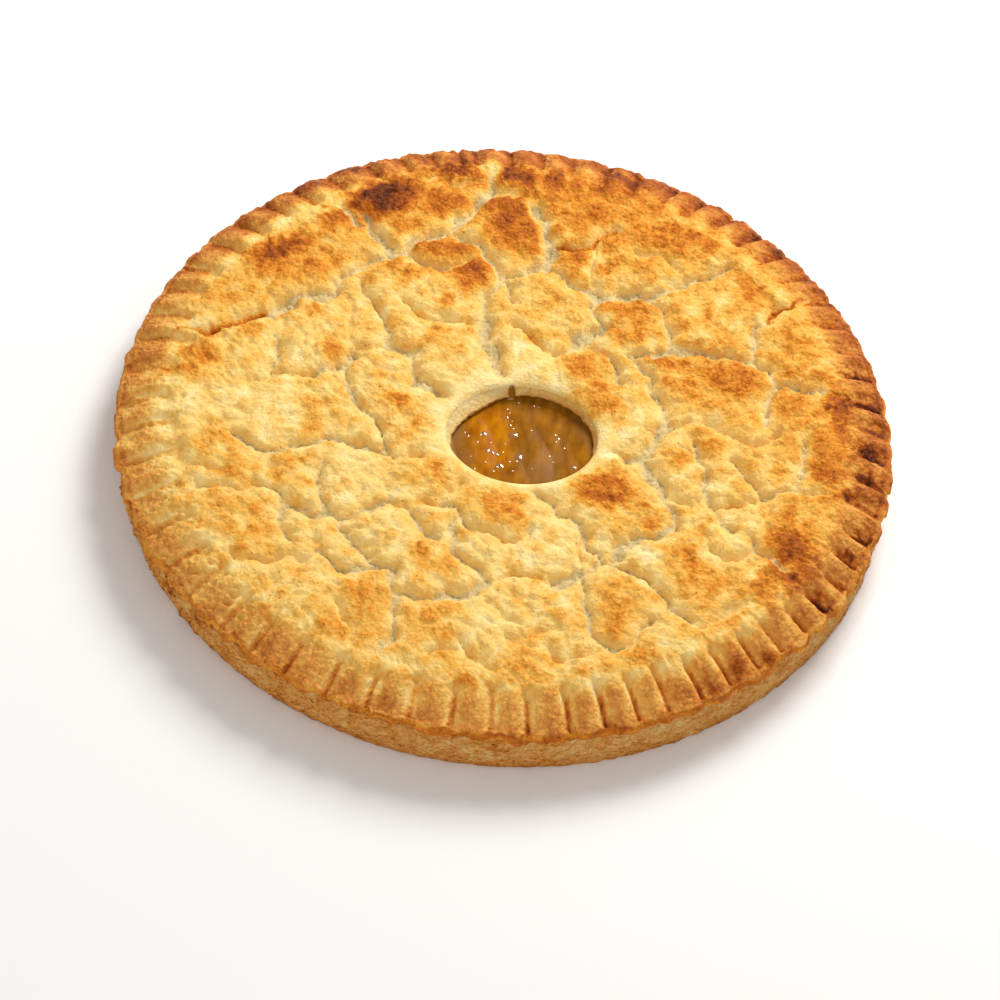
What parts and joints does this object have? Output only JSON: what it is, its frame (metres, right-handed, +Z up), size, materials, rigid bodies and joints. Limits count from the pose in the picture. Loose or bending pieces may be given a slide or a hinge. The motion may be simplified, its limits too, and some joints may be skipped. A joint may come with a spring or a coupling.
{
  "type": "peach pie",
  "caption": "Round double-crust peach pie with a cracked golden lid, a crimped rim and an oval vent that shows the glossy fruit filling.",
  "frame": {"origin": "middle of the flat underside, on the surface that the pie stands on", "axes": "+Z up, -Y towards the viewer of the picture, +X to the right"},
  "size_m": [0.24, 0.24, 0.0225],
  "materials": {
    "pastry_lid": "baked shortcrust, dry with browned patches",
    "pastry_case": "baked shortcrust, rough and flaky",
    "fruit_filling": "glossy set fruit syrup",
    "peach_flesh": "wet cooked peach flesh"
  },
  "bodies": {
    "root": {"bottom_crust": "pastry_case", "filling": "fruit_filling", "peach_slice_left": "peach_flesh", "peach_slice_middle": "peach_flesh", "peach_slice_right": "peach_flesh", "top_crust": "pastry_lid"}
  },
  "joints": []
}
